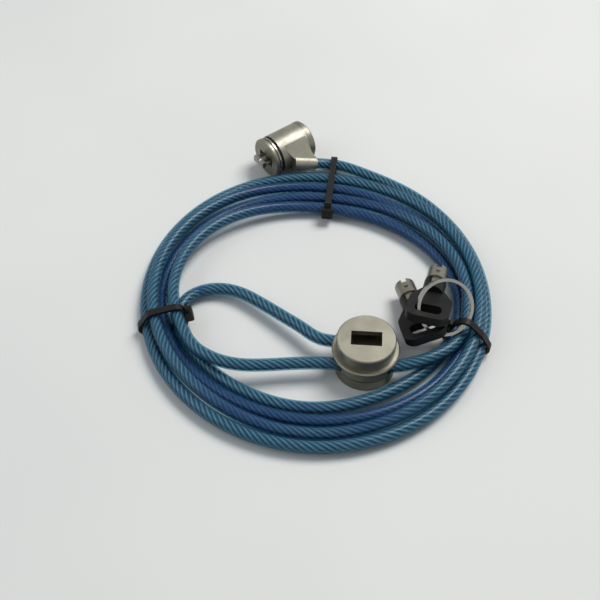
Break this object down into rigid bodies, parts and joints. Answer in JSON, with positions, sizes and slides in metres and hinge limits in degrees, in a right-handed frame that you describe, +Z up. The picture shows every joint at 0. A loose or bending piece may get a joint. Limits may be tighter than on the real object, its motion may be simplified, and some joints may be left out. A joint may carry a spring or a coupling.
{
  "type": "laptop cable lock",
  "caption": "Coiled steel security cable in a clear jacket, with a swivelling tubular key lock, a slotted anchor and keys on a split ring.",
  "frame": {"origin": "centre of the anchor's flat foot, on the surface that the lock lies on", "axes": "+Z up, +X along the slot in the anchor's cap, +Y from the anchor across the coil towards the lock head"},
  "size_m": [0.1337, 0.1595, 0.0262],
  "materials": {
    "nickel": "satin nickel over cast zinc",
    "bright": "bright nickel",
    "steel": "plain",
    "key_steel": "plain, nickelled",
    "brass": "plain",
    "seal": "matt",
    "jacket": "clear blue vinyl over twisted steel wires",
    "tie": "matt nylon",
    "bow": "fine matt"
  },
  "bodies": {
    "coil_and_anchor": {"cable_lead": "jacket", "cable_coil": "jacket", "cable_through_anchor": "jacket", "cable_inner_turn": "jacket", "cable_tail": "jacket", "tie_back": "tie", "tie_right": "tie", "tie_left": "tie", "anchor_housing": "nickel", "anchor_cap": "nickel", "anchor_foot_disc": "nickel", "cable_end_ferrule": "steel", "ferrule_grub_screw": "steel", "swivel_sleeve": "nickel", "cable_lead_ferrule": "steel"},
    "lock_head": {"lock_body": "nickel", "nose_washer": "bright", "seal_ring": "seal", "rear_cap": "nickel", "pin_stator": "brass", "driver_pins": "steel", "pin_springs": "steel", "stator_pin": "steel", "guide_pins": "steel"},
    "rotor": {"key_rotor": "steel", "t_bar_spindle": "steel", "key_pins": "brass"},
    "ring": {"key_ring": "bright"},
    "key_1": {"key_tube_1": "key_steel", "key_bow_1": "bow"},
    "key_2": {"key_tube_2": "key_steel", "key_bow_2": "bow"}
  },
  "joints": [
    {"name": "head_swivel", "type": "hinge", "parent": "coil_and_anchor", "child": "lock_head", "pos_m": [-0.03735, 0.10568, 0.0084], "axis": [0.7547, 0.6561, 0], "continuous": true},
    {"name": "key_turn", "type": "hinge", "parent": "lock_head", "child": "rotor", "pos_m": [-0.03735, 0.10568, 0.0084], "axis": [0.7547, 0.6561, 0], "range_deg": [0, 90]},
    {"name": "ring_lift", "type": "hinge", "parent": "coil_and_anchor", "child": "ring", "pos_m": [0.03505, 0.01168, 0.01186], "axis": [0.6524, 0.6014, 0.4611], "range_deg": [0, 20]},
    {"name": "key_1_swing", "type": "hinge", "parent": "ring", "child": "key_1", "pos_m": [0.02194, 0.00882, 0.01265], "axis": [-0.2812, 0.2002, 0.9386], "range_deg": [0, 12]},
    {"name": "key_2_swing", "type": "hinge", "parent": "ring", "child": "key_2", "pos_m": [0.01815, 0.01254, 0.01783], "axis": [0.0618, 0.2841, 0.9568], "range_deg": [-10, 0]}
  ]
}
